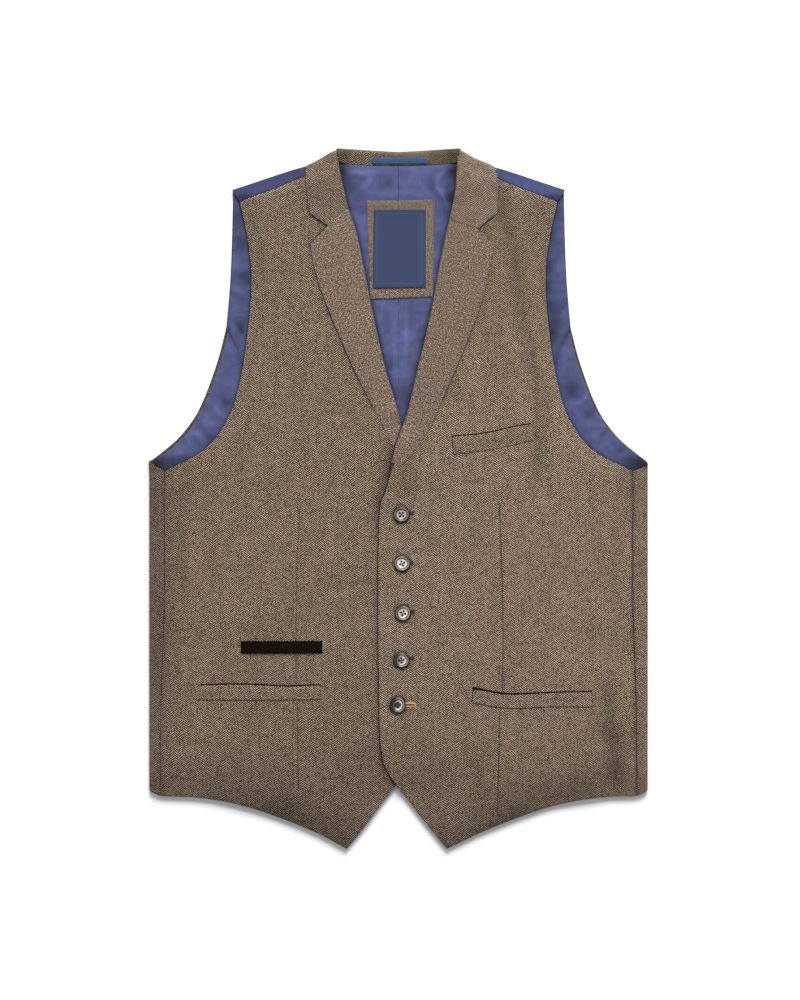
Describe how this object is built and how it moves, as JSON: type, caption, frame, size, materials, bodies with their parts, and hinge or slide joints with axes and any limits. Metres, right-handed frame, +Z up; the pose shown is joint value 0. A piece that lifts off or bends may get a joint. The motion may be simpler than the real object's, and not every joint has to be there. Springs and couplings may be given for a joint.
{
  "type": "suit waistcoat",
  "caption": "Buttoned single-breasted suit waistcoat with notched lapels, laid flat: tweed fronts, collar and side panels, pocket welts, satin back and lining.",
  "frame": {"origin": "middle of the laid garment's outline, on the surface that it lies on", "axes": "+X to the wearer's left, +Y from the hem to the neck, +Z up from the surface, through the fronts"},
  "size_m": [0.4978, 0.7006, 0.0116],
  "materials": {
    "tweed": "brown herringbone wool tweed, soft nap, matte",
    "satin": "slate blue satin with a soft sheen",
    "lining": "blue viscose lining, soft sheen",
    "velvet": "near-black brown velvet, fuzzy",
    "label_cloth": "navy woven label cloth, bare of words",
    "tape": "blue woven tape",
    "horn": "dark brown mottled horn, semi-gloss"
  },
  "bodies": {
    "root": {"front_left": "tweed", "front_right": "tweed", "lapel_left": "tweed", "lapel_right": "tweed", "collar_left": "tweed", "collar_right": "tweed", "collar_back": "tweed", "back_left": "satin", "back_right": "satin", "side_back_left": "tweed", "side_back_right": "tweed", "lining_back_left": "lining", "lining_back_right": "lining", "lining_side_left": "lining", "lining_side_right": "lining", "welt_chest": "tweed", "welt_lower_left": "tweed", "welt_lower_right": "tweed", "welt_ticket": "velvet", "button_1": "horn", "button_2": "horn", "button_3": "horn", "button_4": "horn", "button_5": "horn", "label_patch": "tweed", "label": "label_cloth", "neck_tab": "tape"}
  },
  "joints": []
}
